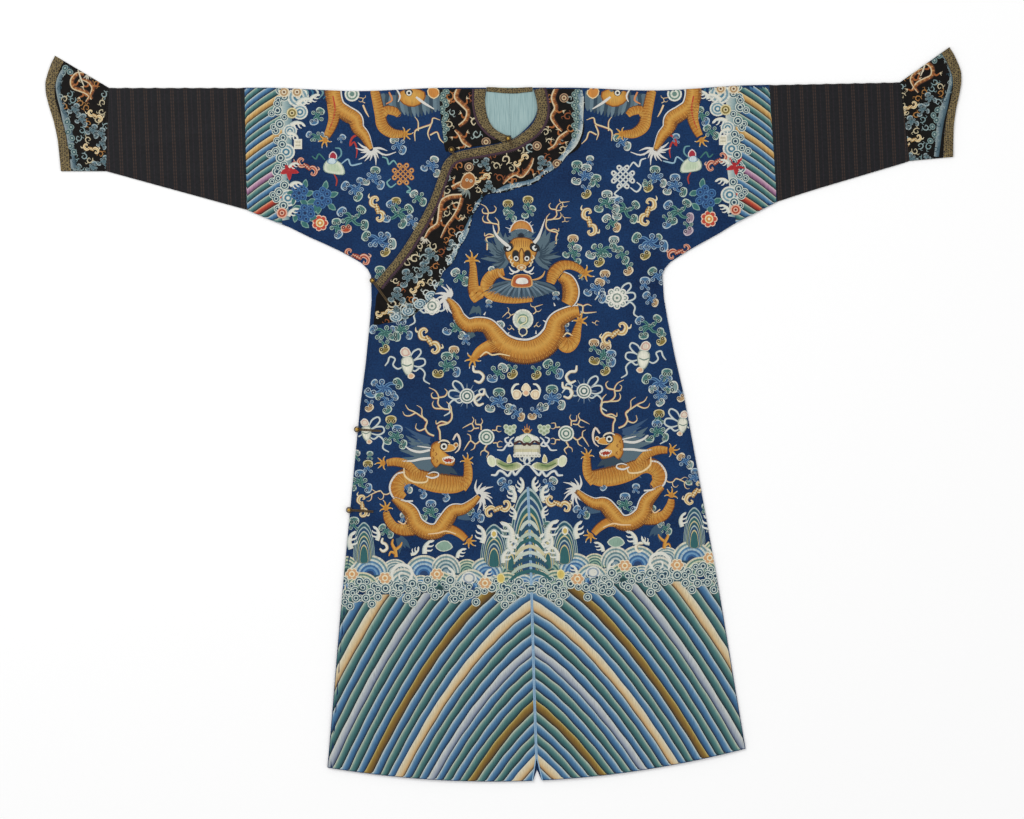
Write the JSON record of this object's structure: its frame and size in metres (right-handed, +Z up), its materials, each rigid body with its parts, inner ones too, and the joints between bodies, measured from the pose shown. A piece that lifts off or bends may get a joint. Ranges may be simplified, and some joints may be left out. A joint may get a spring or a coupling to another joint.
{
  "type": "chinese dragon robe",
  "caption": "Embroidered silk court robe laid flat face up, with a side-closing overlap, dark collar facing, striped sleeves and horse-hoof cuffs.",
  "frame": {"origin": "on the floor under the middle of the robe's outline", "axes": "+Z up out of the floor, +Y toward the neck, +X toward the wearer's left sleeve"},
  "size_m": [1.874, 1.503, 0.0141],
  "materials": {
    "silk_ground": "blue satin silk, embroidered",
    "striped_silk": "dark silk with fine cross stripes",
    "collar_satin": "black satin, embroidered",
    "brocade": "dull gold brocade",
    "piping_purple": "narrow purple brown braid",
    "piping_blue": "light blue silk piping",
    "lining_silk": "pale blue silk with a faint rib",
    "gilt_brass": "worn gilt",
    "loop_cord": "dark twisted silk cord"
  },
  "bodies": {
    "root": {"body_left": "silk_ground", "body_right": "silk_ground", "front_overlap": "silk_ground", "sleeve_left": "striped_silk", "sleeve_right": "striped_silk", "cuff_left": "collar_satin", "cuff_right": "collar_satin", "facing_overlap": "collar_satin", "facing_neck_right": "collar_satin", "cuff_band_left": "brocade", "cuff_band_right": "brocade", "overlap_band": "brocade", "neck_band_right": "brocade", "neck_band_back": "brocade", "overlap_piping": "piping_purple", "neck_piping_right": "piping_purple", "vent_piping_left": "piping_blue", "vent_piping_right": "piping_blue", "lining_left": "lining_silk", "lining_right": "lining_silk", "ball_neck": "gilt_brass", "ball_corner": "gilt_brass", "ball_armpit": "gilt_brass", "ball_chest": "gilt_brass", "ball_waist": "gilt_brass", "loop_neck": "loop_cord", "loop_corner": "loop_cord", "loop_armpit": "loop_cord", "loop_chest": "loop_cord", "loop_waist": "loop_cord"}
  },
  "joints": []
}
